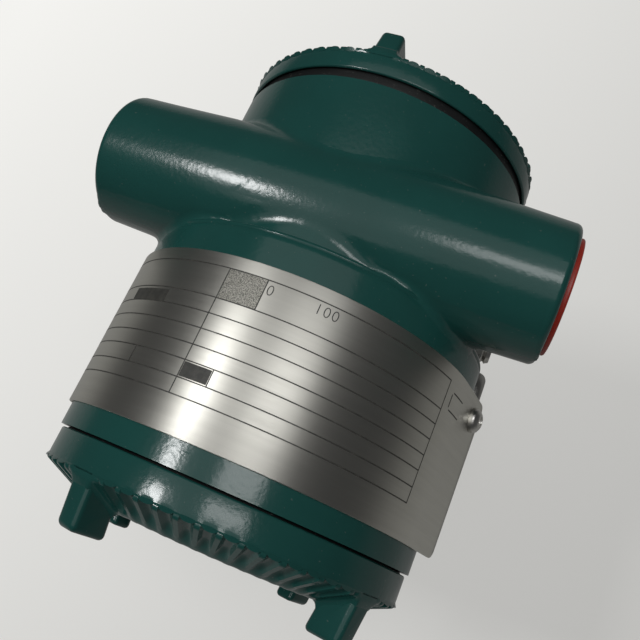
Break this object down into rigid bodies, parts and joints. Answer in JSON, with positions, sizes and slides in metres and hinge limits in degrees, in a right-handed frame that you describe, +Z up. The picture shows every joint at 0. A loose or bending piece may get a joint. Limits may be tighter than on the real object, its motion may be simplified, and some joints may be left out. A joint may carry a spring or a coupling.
{
  "type": "differential pressure transmitter",
  "caption": "Field pressure transmitter: painted drum housing with two screwed covers and a conduit cross tube, on a stainless capsule clamped between process flanges.",
  "frame": {"origin": "midway between the two process ports, on the plane of the flange feet that the unit stands on", "axes": "+Z up along the neck; Y along the drum, with the amplifier cover at -Y and the terminal cover at +Y; +X along the cross tube towards the plugged conduit entry"},
  "size_m": [0.1112, 0.1315, 0.1968],
  "materials": {
    "housing_paint": "semi-gloss polyester coat on die-cast aluminium",
    "stainless": "machined stainless steel",
    "cast_stainless": "blasted stainless casting",
    "plate_steel": "brushed stainless sheet with etched lines",
    "black_rubber": "matt black nitrile rubber",
    "red_plastic": "moulded red polyethylene",
    "black_plastic": "moulded black plastic",
    "board_green": "green circuit board laminate",
    "cable_grey": "grey flat cable",
    "gasket_white": "white fluoropolymer",
    "plated_brass": "nickel-plated brass screws"
  },
  "bodies": {
    "detector": {"capsule_body": "stainless", "sensor_connector": "black_plastic", "diaphragm_high": "stainless", "diaphragm_low": "stainless", "gasket_high": "gasket_white", "gasket_low": "gasket_white", "flange_high": "cast_stainless", "flange_low": "cast_stainless", "flange_bolts": "stainless", "flange_nuts": "stainless", "vent_plugs": "stainless", "drain_plugs": "stainless"},
    "amplifier": {"amplifier_housing": "housing_paint", "name_plate": "plate_steel", "plate_screws": "stainless", "conduit_plug": "red_plastic", "terminal_block": "black_plastic", "terminal_screws": "plated_brass", "inner_ground_screw": "plated_brass", "amplifier_board": "board_green", "amplifier_case": "black_plastic", "amplifier_screws": "stainless", "sensor_cable": "cable_grey", "outer_ground_terminal": "stainless", "housing_set_screws": "stainless"},
    "front_seal": {"front_cover_seal": "black_rubber"},
    "front_cover": {"front_cover": "housing_paint"},
    "rear_seal": {"rear_cover_seal": "black_rubber"},
    "rear_cover": {"rear_cover": "housing_paint"},
    "zero_screw": {"zero_screw": "stainless"},
    "vent_high": {"vent_screw_high": "stainless"},
    "vent_low": {"vent_screw_low": "stainless"}
  },
  "joints": [
    {"name": "housing_swivel", "type": "hinge", "parent": "detector", "child": "amplifier", "pos_m": [0, 0, 0.098], "axis": [0, 0, 1], "range_deg": [-180, 180]},
    {"name": "front_seal_slide", "type": "slide", "parent": "amplifier", "child": "front_seal", "axis": [0, -1, 0], "range_m": [0, 0.0101]},
    {"name": "front_cover_turn", "type": "hinge", "parent": "front_seal", "child": "front_cover", "pos_m": [0, -0.0669, 0.151], "axis": [0, -1, 0], "range_deg": [0, 1800]},
    {"name": "rear_seal_slide", "type": "slide", "parent": "amplifier", "child": "rear_seal", "axis": [0, 1, 0], "range_m": [0, 0.0101]},
    {"name": "rear_cover_turn", "type": "hinge", "parent": "rear_seal", "child": "rear_cover", "pos_m": [0, 0.0328, 0.151], "axis": [0, 1, 0], "range_deg": [0, 1800]},
    {"name": "zero_screw_turn", "type": "hinge", "parent": "amplifier", "child": "zero_screw", "pos_m": [0.03409, 0.008, 0.1224], "axis": [0.766, 0, -0.6428], "continuous": true},
    {"name": "vent_high_turn", "type": "hinge", "parent": "detector", "child": "vent_high", "pos_m": [0.027, -0.042, 0.056], "axis": [0, -1, 0], "range_deg": [0, 720]},
    {"name": "vent_low_turn", "type": "hinge", "parent": "detector", "child": "vent_low", "pos_m": [-0.027, -0.042, 0.056], "axis": [0, -1, 0], "range_deg": [0, 720]}
  ],
  "couplings": [
    {"joint": "front_seal_slide", "follows": "front_cover_turn", "m_per_rad": 0.00031831},
    {"joint": "rear_seal_slide", "follows": "rear_cover_turn", "m_per_rad": 0.00031831}
  ]
}
